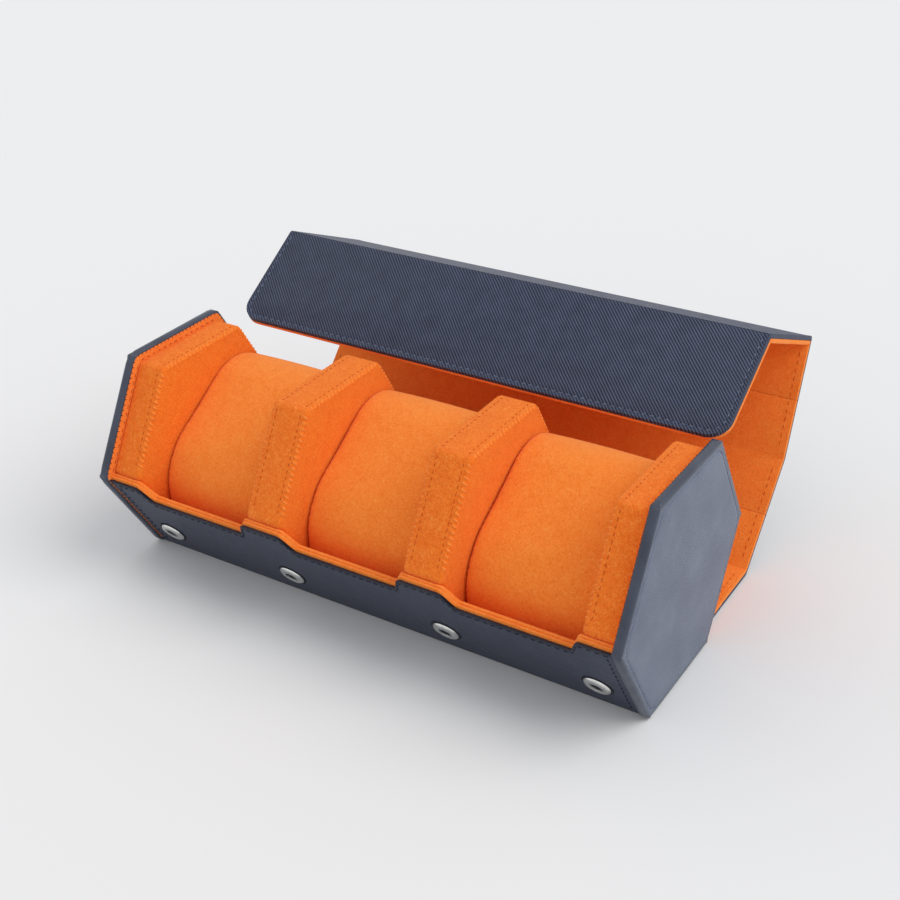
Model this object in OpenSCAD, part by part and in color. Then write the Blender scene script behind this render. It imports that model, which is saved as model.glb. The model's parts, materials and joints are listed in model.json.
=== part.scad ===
// Hexagonal travel case: three cushioned slots under a five-panel wrap lid that hinges on
// folds and closes with four snaps. X runs along the case, Y to the back, Z up.
// The origin is the centre of the bottom face. The lid is drawn open, lying behind the case.

/* [Case] */
// Side of the hexagonal end plates
hex_side = 50; // [46:0.5:58]
// Width of each cushion slot along the case
slot_w = 53.5; // [46:0.5:60]
// Thickness of the two divider blocks between the slots
divider_t = 16; // [10:0.5:22]
// Thickness of the two blocks against the end plates
end_block_t = 13; // [8:0.5:20]
// Height of the fixed front wall, measured up its slope
wall_h = 48.5; // [44:0.5:50]
// How far the front wall lies inside the outline of the end plates
wall_recess = 1.5; // [0.5:0.1:2.5]

/* [Layers] */
// Thickness of the outer leather
leather_t = 1.0; // [0.8:0.1:1.3]
// Thickness of the suede lining
lining_t = 1.0; // [0.8:0.1:1.3]
// Thickness of the board in the base and front wall
base_board_t = 2.0; // [1.5:0.1:2.5]
// Thickness of the board in the end plates
plate_board_t = 1.6; // [1.2:0.1:3]
// Thickness of the board in the lid panels
lid_board_t = 1.6; // [1.2:0.1:2]
// Thickness of the suede that covers the blocks and cushions
cover_t = 1.2; // [0.8:0.1:2]

/* [Front notches] */
// Depth of the notch in the front wall at each slot, down the slope
notch_depth = 8.5; // [5:0.5:14]
// Width of the soft slanted side of a notch
notch_ramp = 5; // [3:0.5:10]

/* [Lid] */
// How far the flap reaches past its snaps
flap_past_snaps = 10; // [6:0.5:10]
// Radius of the two free corners of the flap
flap_corner_r = 8.5; // [4:0.5:14]
// How far up the front wall the flap folds when the lid is shut
flap_fold_up = 50; // [49.5:0.1:51]
// Gap between each end of the lid and the end plate beside it
lid_side_gap = 0.4; // [0.3:0.05:0.8]
// Gap between the closed lid and the blocks
lid_block_gap = 0.4; // [0.4:0.05:0.8]
// Turn of the back lower panel from the base while the lid lies open
open_angle_hinge = 0; // [0:1:1]
// Turn of the back upper panel from the back lower one while open
open_angle_back = 46.5; // [44:0.5:50]
// Turn of the top panel from the back upper one while open
open_angle_top = 22; // [20:0.5:26]
// Turn of the front panel from the top panel while open
open_angle_front = 88; // [80:0.5:90]
// Turn of the flap from the front panel while open
open_angle_flap = 56; // [53:0.5:59]

/* [Folds] */
// Clearance between a fold roll and the panel ends beside it
fold_gap = 0.25; // [0.2:0.05:0.3]
// Largest turn of a back or top fold
back_fold_angle = 60; // [60:1:75]
// Largest turn of the fold between the top and the front panel
front_fold_angle = 113; // [112:1:118]
// Largest turn of the flap fold
flap_fold_angle = 122; // [121:1:128]

/* [Snaps] */
// Distance between the two middle snaps
snap_pitch = 70; // [50:1:90]
// Distance of the outer snaps from the inside of the end plates
snap_from_end = 13.25; // [9:0.25:20]
// Height of the snaps up the front wall
snap_up = 15; // [10:0.5:26]
// Diameter of a snap socket
socket_d = 10.5; // [9:0.1:13]
// How far a socket stands proud of the front wall
socket_h = 1.5; // [1.2:0.05:1.6]
// Gap between the closed flap and the front wall
snap_gap = 1.8; // [1.75:0.05:2.2]
// Diameter of the hole in a socket
socket_hole_d = 4.8; // [4.6:0.1:5.4]
// Wire diameter of the ring spring in a socket
spring_wire = 0.4; // [0.3:0.05:0.45]
// Clearance round the spring in its groove
spring_gap = 0.1; // [0.05:0.05:0.15]
// Diameter of the bulb of a stud
stud_d = 3.8; // [3.2:0.1:4]
// Diameter of the flange of a stud, and of the plates behind the leather
stud_flange_d = 8; // [7:0.1:9]
// Thickness of the flanges
flange_t = 0.5; // [0.4:0.05:0.6]
// Diameter of the rivet shanks
shank_d = 3; // [2.4:0.1:3.1]
// Clearance between a stud's tip and the rivet under the socket
stud_tip_gap = 0.3; // [0.2:0.05:0.5]

/* [Cushions] */
// Centre of the cushion's front round, from the origin towards the back
cushion_front_y = -3.5; // [-5:0.1:-2]
// Radius of the cushion's front round
cushion_front_r = 27.2; // [24:0.1:27.4]
// Centre of the cushion's top round, from the origin towards the back
cushion_top_y = 16; // [13:0.1:16.2]
// Height of the centre of the cushion's top round
cushion_top_z = 50.5; // [46:0.1:50.8]
// Radius of the cushion's top round
cushion_top_r = 21.5; // [18:0.1:21.8]
// Gap between a cushion and what is round it
cushion_gap = 0.35; // [0.3:0.05:0.8]
// How far the crown of a cushion rises from its sides to its middle
cushion_crown = 1.2; // [0.5:0.1:3]
// Width of the rounding at each side of a cushion
cushion_round = 4.5; // [3:0.5:10]
// How far the rounding draws in at the side faces
cushion_draw = 3.5; // [2:0.5:8]

/* [Hidden] */

NAVY = "#2f3b56";
DARK_EDGE = "#232c3e";
ORANGE = "#e8732a";
BOARD = "#b9a27e";
FOAM = "#e9e2cf";
SILVER = "#c9ccd0";

eps = 0.01;
apothem = hex_side * cos(30);
lid_t = leather_t + lid_board_t + lining_t;
flap_l = flap_fold_up - snap_up + flap_past_snaps;
base_t = leather_t + base_board_t + lining_t;
plate_t = leather_t + plate_board_t + lining_t;
body_l = 3 * slot_w + 2 * divider_t + 2 * end_block_t;
lid_l = body_l - 2 * lid_side_gap;
slot_pitch = slot_w + divider_t;
divider_x = slot_pitch / 2;
end_block_x = body_l / 2 - end_block_t / 2;

// ---- points of the section, as [y, z] ----
// The hexagon's sides face these ways: base, front wall, front panel, top, back upper, back lower
side_angles = [270, 210, 150, 90, 30, 330];

// Corner between two of the hexagon's sides, each moved inwards by its own inset
function side_corner(angle_a, inset_a, angle_b, inset_b) =
    let (
        dist_a = apothem - inset_a,
        dist_b = apothem - inset_b,
        det = sin(angle_b - angle_a)
    )
    [
        (dist_a * sin(angle_b) - dist_b * sin(angle_a)) / det,
        apothem + (dist_b * cos(angle_a) - dist_a * cos(angle_b)) / det
    ];

// Hexagon whose sides are moved inwards by the six insets
function hexagon(insets) = [
    for (i = [0:5])
        let (j = (i + 1) % 6)
        side_corner(side_angles[i], insets[i], side_angles[j], insets[j])
];

// Corner between the base and the front wall at given depths from their outer faces
function wall_foot(base_depth, wall_depth) =
    side_corner(270, base_depth, 210, wall_recess + wall_depth);

wall_angle = 120;
wall_up = [cos(wall_angle), sin(wall_angle)];
wall_out = [cos(wall_angle + 90), sin(wall_angle + 90)];
wall_origin = wall_foot(0, 0);

// Point up the front wall at a depth from its outer face
function wall_point(up, depth) = wall_origin + up * wall_up - depth * wall_out;

// ---- the fold axes, which lie in the middle of the lid's thickness ----
fold_radius = (apothem - lid_t / 2) / cos(30);
function closed_fold(angle) = [fold_radius * cos(angle), apothem + fold_radius * sin(angle)];
closed_folds = [
    closed_fold(-60), closed_fold(0), closed_fold(60), closed_fold(120),
    wall_point(flap_fold_up, -(snap_gap + lid_t / 2))
];
function heading(from, to) = atan2(to[1] - from[1], to[0] - from[0]);
panel_l = [for (i = [0:3]) norm(closed_folds[i + 1] - closed_folds[i]), flap_l];

open_angles = [open_angle_hinge, open_angle_back, open_angle_top, open_angle_front, open_angle_flap];
function sum_to(list, n) = n < 0 ? 0 : list[n] + sum_to(list, n - 1);
panel_angle = [for (i = [0:4]) sum_to(open_angles, i)];
function fold_at(n) =
    n == 0 ? closed_folds[0]
           : fold_at(n - 1) + panel_l[n - 1] * [cos(panel_angle[n - 1]), sin(panel_angle[n - 1])];

fold_angles = [back_fold_angle, back_fold_angle, back_fold_angle, front_fold_angle, flap_fold_angle];
fold_roll_r = lid_t / 2;

// How far a panel's end stays from its fold axis at height h over the middle of the panel
function end_at(turn, h) =
    max(fold_roll_r + fold_gap, h * tan(turn / 2) + fold_gap / cos(turn / 2));
base_back_y = closed_folds[0][0] - end_at(back_fold_angle, base_t - lid_t / 2);

// ---- placing ----
module along_x(length) {
    rotate([90, 0, 90])
        linear_extrude(length, center = true)
            children();
}

// Frame of the front wall: X along the case, Y up the wall, Z outwards
module on_wall() {
    translate([0, wall_origin[0], wall_origin[1]])
        rotate([wall_angle, 0, 0])
            children();
}

// Frame of a lid panel: X along the case, Y from its first fold to the next, Z inwards
module on_panel(n) {
    translate([0, fold_at(n)[0], fold_at(n)[1]])
        rotate([panel_angle[n], 0, 0])
            children();
}

snap_x = [
    -body_l / 2 + snap_from_end, -snap_pitch / 2, snap_pitch / 2, body_l / 2 - snap_from_end
];

// ---- base and front wall ----
// Soft S-shaped side of a notch, from the wall's top edge down to the floor of the notch
function notch_side(x, direction, depth, ramp) = [
    for (i = [0:8])
        [x + direction * ramp * i / 8, wall_h - depth * (1 - cos(180 * i / 8)) / 2]
];

// Outline of one notch, made larger all round by grow
function notch(centre, grow) =
    let (
        left = notch_side(centre - slot_w / 2 - grow, 1, notch_depth + grow, notch_ramp),
        right = notch_side(centre + slot_w / 2 + grow, -1, notch_depth + grow, notch_ramp)
    )
    concat(
        [[centre - slot_w / 2 - grow, wall_h + base_t]],
        left,
        [for (i = [8:-1:0]) right[i]],
        [[centre + slot_w / 2 + grow, wall_h + base_t]]
    );

module notches(grow) {
    on_wall()
        translate([0, 0, -base_t - eps])
            linear_extrude(base_t + 2 * eps)
                for (i = [-1:1])
                    polygon(notch(i * slot_pitch, grow));
}

// Bent sheet that covers the base and the front wall between two depths
module bent_sheet(depth_out, depth_in) {
    along_x(body_l)
        polygon([
            [base_back_y, depth_out],
            wall_foot(depth_out, depth_out),
            wall_point(wall_h, depth_out),
            wall_point(wall_h, depth_in),
            wall_foot(depth_in, depth_in),
            [base_back_y, depth_in]
        ]);
}

module snap_holes(diameter, from, to) {
    on_wall()
        for (x = snap_x)
            translate([x, snap_up, from])
                cylinder(h = to - from, d = diameter, $fn = 48);
}

module base_leather() {
    color(NAVY)
        difference() {
            bent_sheet(0, leather_t);
            notches(0);
            snap_holes(shank_d, -leather_t - eps, eps);
        }
}

module base_board() {
    color(BOARD)
        along_x(body_l)
            polygon([
                [base_back_y, leather_t],
                wall_foot(leather_t, leather_t),
                wall_foot(base_t - lining_t, base_t - lining_t),
                [base_back_y, base_t - lining_t]
            ]);
}

module front_board() {
    color(BOARD)
        difference() {
            along_x(body_l)
                polygon([
                    wall_foot(leather_t, leather_t),
                    wall_point(wall_h - lining_t, leather_t),
                    wall_point(wall_h - lining_t, base_t - lining_t),
                    wall_foot(base_t - lining_t, base_t - lining_t)
                ]);
            notches(lining_t);
            snap_holes(stud_flange_d, -leather_t - flange_t, -leather_t + eps);
        }
}

// The lining also turns over the top edge of the front board
module base_lining() {
    color(ORANGE)
        difference() {
            union() {
                bent_sheet(base_t - lining_t, base_t);
                difference() {
                    along_x(body_l)
                        polygon([
                            wall_point(wall_h - notch_depth - 2 * lining_t, leather_t),
                            wall_point(wall_h, leather_t),
                            wall_point(wall_h, base_t - lining_t),
                            wall_point(wall_h - notch_depth - 2 * lining_t, base_t - lining_t)
                        ]);
                    front_board_outline();
                }
            }
            notches(0);
        }
}

// Space that the front board fills near the wall's top edge
module front_board_outline() {
    difference() {
        on_wall()
            translate([-body_l / 2 - eps, 0, -base_t])
                cube([body_l + 2 * eps, wall_h - lining_t, base_t]);
        notches(lining_t);
    }
}

// ---- end plates ----
module plate_layer(side, from, to, inset) {
    translate([side * (body_l / 2 + (from + to) / 2), 0, 0])
        along_x(to - from)
            polygon(hexagon([for (i = [0:5]) inset]));
}

module plate_leather(side) {
    color(NAVY)
        difference() {
            plate_layer(side, 0, plate_t, 0);
            plate_layer(side, -eps, plate_t - leather_t, leather_t);
        }
}

module plate_board(side) {
    color(BOARD)
        plate_layer(side, lining_t, plate_t - leather_t, leather_t);
}

module plate_lining(side) {
    color(ORANGE)
        plate_layer(side, 0, lining_t, leather_t);
}

// ---- blocks ----
// The blocks stand on the lining, and stay clear of the closed lid
function block_insets(extra) = [
    base_t,
    wall_recess + base_t + extra,
    for (i = [2:5]) lid_t + lid_block_gap + extra
];

module block_cover(x, thickness) {
    color(ORANGE)
        translate([x, 0, 0])
            difference() {
                along_x(thickness)
                    polygon(hexagon(block_insets(0)));
                along_x(thickness - 2 * cover_t)
                    polygon(hexagon(concat([base_t - eps], [for (i = [1:5]) block_insets(cover_t)[i]])));
            }
}

module block_core(x, thickness) {
    color(FOAM)
        translate([x, 0, 0])
            along_x(thickness - 2 * cover_t)
                polygon(hexagon(block_insets(cover_t)));
}

// ---- fold rolls ----
module fold_roll(n) {
    color(NAVY)
        on_panel(n)
            rotate([0, 90, 0])
                cylinder(h = lid_l, r = fold_roll_r, center = true, $fn = 48);
}

// ---- lid panels ----
// Outline of a panel's end beside a fold, from low to high over the middle of the panel
function end_profile(turn, low, high) =
    let (
        slant_from = (fold_roll_r + fold_gap - fold_gap / cos(turn / 2)) / tan(turn / 2)
    )
    [
        [end_at(turn, low), low],
        if (slant_from > low && slant_from < high) [end_at(turn, slant_from), slant_from],
        [end_at(turn, high), high]
    ];

// Section of one panel between two heights, drawn in from both of its ends by wrap
function panel_section(n, low, high, wrap) =
    let (
        first = end_profile(fold_angles[n], low, high),
        last = n == 4 ? [[0, low], [0, high]] : end_profile(fold_angles[n + 1], low, high),
        count = len(last)
    )
    concat(
        [for (p = first) [p[0] + wrap, p[1]]],
        [for (i = [count - 1:-1:0]) [panel_l[n] - last[i][0] - wrap, last[i][1]]]
    );

// Cuts the two free corners of the flap round, drawn in by inset
module flap_corners(inset) {
    r = flap_corner_r - inset;
    for (side = [-1, 1])
        translate([side * (lid_l / 2 - flap_corner_r), flap_l - flap_corner_r, 0])
            difference() {
                translate([side > 0 ? 0 : -lid_l, 0, -lid_t])
                    cube([lid_l, lid_l, 2 * lid_t]);
                cylinder(h = 3 * lid_t, r = r, center = true, $fn = 96);
                translate([side > 0 ? -lid_l : 0, -lid_l / 2, -lid_t - eps])
                    cube([lid_l, lid_l, 2 * lid_t + 2 * eps]);
            }
}

module panel_layer(n, low, high, wrap) {
    on_panel(n)
        difference() {
            along_x(lid_l - 2 * wrap)
                polygon(panel_section(n, low, high, wrap));
            if (n == 4)
                flap_corners(wrap);
        }
}

leather_low = -lid_t / 2;
board_low = leather_low + leather_t;
board_high = board_low + lid_board_t;

module panel_leather(n) {
    color(NAVY)
        panel_layer(n, leather_low, board_low, 0);
}

module panel_board(n) {
    color(BOARD)
        panel_layer(n, board_low, board_high, lining_t);
}

// The lining covers the board's inside and turns down round its edges
module panel_lining(n) {
    color(ORANGE)
        difference() {
            panel_layer(n, board_low, lid_t / 2, 0);
            panel_layer(n, board_low - eps, board_high, lining_t);
        }
}

// ---- snaps ----
module snap_sockets() {
    groove_r = socket_hole_d / 2 + spring_wire;
    groove_mid = flange_t + (socket_h - flange_t) / 2;
    rim = socket_h / 3;
    color(SILVER)
        on_wall()
            for (x = snap_x)
                translate([x, snap_up, 0])
                    difference() {
                        union() {
                            cylinder(h = socket_h - rim, d = socket_d, $fn = 64);
                            translate([0, 0, socket_h - rim])
                                rotate_extrude($fn = 64)
                                    polygon([
                                        [0, 0],
                                        for (a = [0:15:90])
                                            [socket_d / 2 - rim + rim * cos(a), rim * sin(a)],
                                        [0, rim]
                                    ]);
                        }
                        translate([0, 0, -eps])
                            cylinder(h = socket_h, d = shank_d, $fn = 48);
                        translate([0, 0, flange_t])
                            cylinder(h = socket_h, d = socket_hole_d, $fn = 48);
                        translate([0, 0, groove_mid - spring_wire / 2 - spring_gap])
                            cylinder(h = spring_wire + 2 * spring_gap, r = groove_r, $fn = 48);
                    }
}

// Ring springs, which grip the studs
module snap_springs() {
    groove_mid = flange_t + (socket_h - flange_t) / 2;
    ring_r = socket_hole_d / 2 + spring_wire / 2 - spring_gap;
    color("#9aa0a6")
        on_wall()
            for (x = snap_x)
                translate([x, snap_up, groove_mid])
                    rotate_extrude($fn = 48)
                        translate([ring_r, 0])
                            circle(d = spring_wire, $fn = 16);
}

// Rivets that hold the sockets: a flange behind the leather and a shank through it
module snap_posts() {
    color("#8d9298")
        on_wall()
            for (x = snap_x)
                translate([x, snap_up, 0]) {
                    translate([0, 0, -leather_t - flange_t])
                        cylinder(h = flange_t, d = stud_flange_d, $fn = 48);
                    translate([0, 0, -leather_t])
                        cylinder(h = leather_t + flange_t, d = shank_d, $fn = 48);
                }
}

// Where the studs sit on the flap, measured from the flap's fold
snap_point = wall_point(snap_up, -snap_gap - lid_t / 2);
stud_along = norm(snap_point - closed_folds[4]);

module on_studs() {
    on_panel(4)
        for (x = snap_x)
            translate([x, stud_along, 0])
                children();
}

module snap_studs() {
    reach = snap_gap - flange_t - stud_tip_gap;
    color(SILVER)
        on_studs() {
            translate([0, 0, board_high])
                cylinder(h = lining_t, d = shank_d, $fn = 48);
            translate([0, 0, lid_t / 2 - flange_t])
                cylinder(h = flange_t, d = stud_flange_d, $fn = 48);
            translate([0, 0, lid_t / 2])
                cylinder(h = reach - flange_t, d = shank_d, $fn = 48);
            translate([0, 0, lid_t / 2 + reach - flange_t])
                cylinder(h = flange_t, d = stud_d, $fn = 48);
        }
}

// Plates behind the flap's lining, which the studs are riveted to
module stud_plates() {
    color("#8d9298")
        on_studs()
            translate([0, 0, board_high - flange_t])
                cylinder(h = flange_t, d = stud_flange_d, $fn = 48);
}

module flap_board() {
    color(BOARD)
        difference() {
            panel_layer(4, board_low, board_high, lining_t);
            on_studs()
                translate([0, 0, board_high - flange_t])
                    cylinder(h = flange_t + eps, d = stud_flange_d, $fn = 48);
        }
}

module flap_lining() {
    color(ORANGE)
        difference() {
            panel_lining(4);
            on_studs()
                translate([0, 0, board_high - eps])
                    cylinder(h = lining_t, d = shank_d, $fn = 48);
            on_studs()
                translate([0, 0, lid_t / 2 - flange_t])
                    cylinder(h = flange_t + eps, d = stud_flange_d, $fn = 48);
        }
}

// ---- cushions ----
cushion_front_z = base_t + cushion_gap + cushion_front_r;
cushion_half_w = slot_w / 2 - cushion_gap;
cushion_reach = [cushion_top_y - cushion_front_y, cushion_top_z - cushion_front_z];
cushion_heading = atan2(cushion_reach[1], cushion_reach[0]);
cushion_lean = acos((cushion_front_r - cushion_top_r) / norm(cushion_reach));
arc_steps = 13;

// Outline round the two rounds of a cushion, drawn in by inset
function cushion_outline(inset) = concat(
    [
        for (i = [0:arc_steps])
            let (a = cushion_heading + cushion_lean + (360 - 2 * cushion_lean) * i / arc_steps)
            [cushion_front_y, cushion_front_z] + (cushion_front_r - inset) * [cos(a), sin(a)]
    ],
    [
        for (i = [0:arc_steps])
            let (a = cushion_heading - cushion_lean + 2 * cushion_lean * i / arc_steps)
            [cushion_top_y, cushion_top_z] + (cushion_top_r - inset) * [cos(a), sin(a)]
    ]
);

// Rings across a cushion as [x, inset]: the side rounds in, and the middle is crowned
round_steps = 4;
crown_steps = 3;
function crown_inset(x) = cushion_crown * pow(x / cushion_half_w, 2);
half_rings = concat(
    [
        for (i = [0:round_steps - 1])
            let (
                a = 90 * i / round_steps,
                x = cushion_half_w - cushion_round * (1 - cos(a))
            )
            [x, crown_inset(x) + cushion_draw * (1 - sin(a))]
    ],
    [
        for (i = [0:crown_steps - 1])
            let (x = (cushion_half_w - cushion_round) * (1 - i / crown_steps))
            [x, crown_inset(x)]
    ]
);
cushion_rings = concat(
    [for (r = half_rings) [-r[0], r[1]]],
    [[0, 0]],
    [for (i = [len(half_rings) - 1:-1:0]) half_rings[i]]
);

module cushion_form(thinner) {
    rings = cushion_rings;
    m = len(cushion_outline(0));
    squeeze = (cushion_half_w - thinner) / cushion_half_w;
    points = [
        for (r = rings)
            for (p = cushion_outline(r[1] + thinner))
                [r[0] * squeeze, p[0], p[1]]
    ];
    sides = [
        for (j = [0:len(rings) - 2])
            for (i = [0:m - 1])
                let (k = (i + 1) % m)
                for (half = [0, 1])
                    half == 0
                        ? [j * m + i, (j + 1) * m + i, j * m + k]
                        : [j * m + k, (j + 1) * m + i, (j + 1) * m + k]
    ];
    caps = [
        [for (i = [0:m - 1]) i],
        [for (i = [m - 1:-1:0]) (len(rings) - 1) * m + i]
    ];
    polyhedron(points = points, faces = concat(sides, caps), convexity = 4);
}

module cushion_cover(slot) {
    color(ORANGE)
        translate([slot * slot_pitch, 0, 0])
            difference() {
                cushion_form(0);
                cushion_form(cover_t);
            }
}

module cushion_core(slot) {
    color(FOAM)
        translate([slot * slot_pitch, 0, 0])
            cushion_form(cover_t);
}

base_leather();
base_board();
front_board();
base_lining();
fold_roll(0);  // hinge_fold
plate_leather(-1);  // left_plate_leather
plate_board(-1);  // left_plate_board
plate_lining(-1);  // left_plate_lining
plate_leather(1);  // right_plate_leather
plate_board(1);  // right_plate_board
plate_lining(1);  // right_plate_lining
block_cover(-end_block_x, end_block_t);  // left_end_block_cover
block_core(-end_block_x, end_block_t);  // left_end_block_core
block_cover(-divider_x, divider_t);  // left_divider_cover
block_core(-divider_x, divider_t);  // left_divider_core
block_cover(divider_x, divider_t);  // right_divider_cover
block_core(divider_x, divider_t);  // right_divider_core
block_cover(end_block_x, end_block_t);  // right_end_block_cover
block_core(end_block_x, end_block_t);  // right_end_block_core
snap_sockets();
snap_springs();
snap_posts();
panel_leather(0);  // lid_back_lower_leather
panel_board(0);  // lid_back_lower_board
panel_lining(0);  // lid_back_lower_lining
fold_roll(1);  // back_fold
panel_leather(1);  // lid_back_upper_leather
panel_board(1);  // lid_back_upper_board
panel_lining(1);  // lid_back_upper_lining
fold_roll(2);  // top_back_fold
panel_leather(2);  // lid_top_leather
panel_board(2);  // lid_top_board
panel_lining(2);  // lid_top_lining
fold_roll(3);  // top_front_fold
panel_leather(3);  // lid_front_leather
panel_board(3);  // lid_front_board
panel_lining(3);  // lid_front_lining
fold_roll(4);  // flap_fold
panel_leather(4);  // flap_leather
flap_board();
flap_lining();
snap_studs();
stud_plates();
cushion_cover(-1);  // left_cushion_cover
cushion_core(-1);  // left_cushion_core
cushion_cover(0);  // middle_cushion_cover
cushion_core(0);  // middle_cushion_core
cushion_cover(1);  // right_cushion_cover
cushion_core(1);  // right_cushion_core
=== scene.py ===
import json
from math import atan2, copysign, cos, degrees, pi, radians, sin, tan

import bpy
from mathutils import Matrix, Vector


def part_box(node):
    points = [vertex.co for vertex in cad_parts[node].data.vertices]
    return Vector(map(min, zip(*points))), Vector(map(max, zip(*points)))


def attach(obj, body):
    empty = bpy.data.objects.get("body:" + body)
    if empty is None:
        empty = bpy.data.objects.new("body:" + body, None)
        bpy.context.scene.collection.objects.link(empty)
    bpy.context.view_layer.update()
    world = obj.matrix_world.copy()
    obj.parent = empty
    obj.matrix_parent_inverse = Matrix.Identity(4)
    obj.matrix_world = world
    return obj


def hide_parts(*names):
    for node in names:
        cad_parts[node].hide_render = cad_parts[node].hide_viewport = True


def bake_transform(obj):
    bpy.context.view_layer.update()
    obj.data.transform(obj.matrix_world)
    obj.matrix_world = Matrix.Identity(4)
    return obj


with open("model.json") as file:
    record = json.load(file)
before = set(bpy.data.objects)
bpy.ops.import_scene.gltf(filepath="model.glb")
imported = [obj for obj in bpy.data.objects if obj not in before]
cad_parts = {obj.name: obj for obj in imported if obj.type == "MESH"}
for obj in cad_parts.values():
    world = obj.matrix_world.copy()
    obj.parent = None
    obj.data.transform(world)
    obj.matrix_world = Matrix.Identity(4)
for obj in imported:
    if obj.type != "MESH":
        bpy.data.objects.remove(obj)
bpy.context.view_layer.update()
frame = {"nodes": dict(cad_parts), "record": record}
print("frame loaded")

# places taken from the frame
jointList = {j["name"]: j for j in frame["record"]["behaviour"]["joints"]}
foldJoints = ["lid_hinge", "back_fold_turn", "top_back_fold_turn", "top_front_fold_turn", "flap_fold_opening"]
folds = [Vector(jointList[name]["pos_m"]) for name in foldJoints]

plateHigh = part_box("right_plate_leather")[1]
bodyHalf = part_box("right_plate_lining")[0].x  # inner face of the end plates
outerHalf = plateHigh.x
apothem = plateHigh.z / 2
cos30 = cos(radians(30))  # a hexagon's apothem over its reach to a corner
hexCentre = Vector((0, 0, apothem))
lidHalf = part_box("flap_leather")[1].x
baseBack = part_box("base_leather")[1].y
nearly = 1e-5  # points closer than this count as one place

layers = {"leather": 0.001, "lidBoard": 0.0016, "lining": 0.001, "base": 0.004, "wallRecess": 0.0015,
          "blockInset": 0.004, "wallHeight": 0.0485, "wallAngle": radians(120), "flapTurn": radians(56),
          "flapLength": 0.045}
toRight, toBack, upwards = Matrix.Identity(3)
innerFace = (layers["leather"] + layers["lidBoard"] + layers["lining"]) / 2
outerFace = -innerFace  # height of the lid's leather over the middle of the panel


def turnOf(v):
    return atan2(v.z, v.y)


def headed(angle):  # a direction across the case, by its angle above the way to the back
    return Vector((0, cos(angle), sin(angle)))


def squareTo(v):
    return Vector((0, -v.z, v.y))


# each panel: where it starts, which way it runs, which way is inwards, its length
panels = []
for n in range(5):
    if n < 4:
        run = folds[n + 1] - folds[n]
    else:
        run = headed(turnOf(panels[3]["along"]) + layers["flapTurn"]) * layers["flapLength"]
    along = run.normalized()
    panels.append({"start": folds[n], "along": along, "inward": squareTo(along), "length": run.length})

wallUp = headed(layers["wallAngle"])
wallOut = squareTo(wallUp)
wallFoot = Vector((0, (layers["wallRecess"] - apothem / 2) / cos30, 0))


def wallPoint(up, out):
    return wallFoot + wallUp * up + wallOut * out


# modelling helpers
def activate(piece):
    bpy.ops.object.select_all(action="DESELECT")
    bpy.context.view_layer.objects.active = piece
    piece.select_set(True)


def named(name):  # the primitive just added: its place goes into its mesh
    piece = bpy.context.object
    activate(piece)
    bpy.ops.object.transform_apply(location=True, rotation=True, scale=True)
    piece.name = piece.data.name = name
    return piece


def everything(*place):
    return True


def leaveEdit():
    bpy.ops.object.mode_set(mode="OBJECT")


def choose(piece, test, kind="VERT"):  # edit mode, with only what passes the test selected
    activate(piece)
    bpy.ops.object.mode_set(mode="EDIT")
    bpy.ops.mesh.select_mode(type=kind)
    bpy.ops.mesh.select_all(action="DESELECT")
    leaveEdit()
    mesh = piece.data
    if kind == "VERT":
        for v in mesh.vertices:
            v.select = test(v.co)
    elif kind == "EDGE":
        for e in mesh.edges:
            e.select = test(mesh.vertices[e.vertices[0]].co, mesh.vertices[e.vertices[1]].co)
    else:
        for f in mesh.polygons:
            f.select = test(f.center, f.normal)
    bpy.ops.object.mode_set(mode="EDIT")


def reshape(piece, operator, test=everything, kind="VERT", **settings):  # one operator on what passes
    choose(piece, test, kind)
    operator(**settings)
    leaveEdit()


def beyond(point, heading):  # a test for what lies at a point or past it
    return lambda co: (co - point).dot(heading) > -nearly


def facing(direction):  # a test for faces that look that way
    return lambda centre, normal: normal.dot(direction) > 0.9


def modify(piece, kind, **settings):  # adds a modifier and applies it
    activate(piece)
    modifier = piece.modifiers.new(kind, kind)
    for key, value in settings.items():
        setattr(modifier, key, value)
    bpy.ops.object.modifier_apply(modifier=modifier.name)


def cutAway(piece, point, normal, keep="inner", fill=False):  # keep "inner" drops what the normal points at
    reshape(piece, bpy.ops.mesh.bisect, plane_co=point, plane_no=normal, use_fill=fill,
            clear_outer=keep == "inner", clear_inner=keep == "outer")


def scoreLine(piece, point, normal):  # a line of new vertices across the piece
    reshape(piece, bpy.ops.mesh.bisect, plane_co=point, plane_no=normal)


def extrudeBy(step):
    bpy.ops.mesh.extrude_region_move(TRANSFORM_OT_translate={"value": step})


def insets(steps):  # one inset after another on the selected faces: (thickness, depth)
    for thickness, depth in steps:
        bpy.ops.mesh.inset(thickness=thickness, depth=depth)


def faceOut(piece, point, outward):  # turns an open sheet so that its face at point looks outward
    reshape(piece, bpy.ops.mesh.normals_make_consistent, inside=False)
    near = min(piece.data.polygons, key=lambda f: (f.center - point).length)
    if near.normal.dot(outward) < 0:
        reshape(piece, bpy.ops.mesh.flip_normals)


def closeUp(piece, angle=35):
    reshape(piece, bpy.ops.mesh.remove_doubles, threshold=nearly)
    reshape(piece, bpy.ops.mesh.normals_make_consistent, inside=False)
    bpy.ops.object.shade_smooth_by_angle(angle=radians(angle))


def joined(name, pieces):
    activate(pieces[0])
    for piece in pieces:
        piece.select_set(True)
    bpy.ops.object.join()
    pieces[0].name = pieces[0].data.name = name
    return pieces[0]


def copied(piece, name, matrix):
    twin = piece.copy()
    twin.data = piece.data.copy()
    twin.data.transform(matrix)
    twin.name = twin.data.name = name
    bpy.context.collection.objects.link(twin)
    return twin


def paint(piece, material):
    piece.data.materials.clear()
    piece.data.materials.append(material)
    return piece


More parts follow.
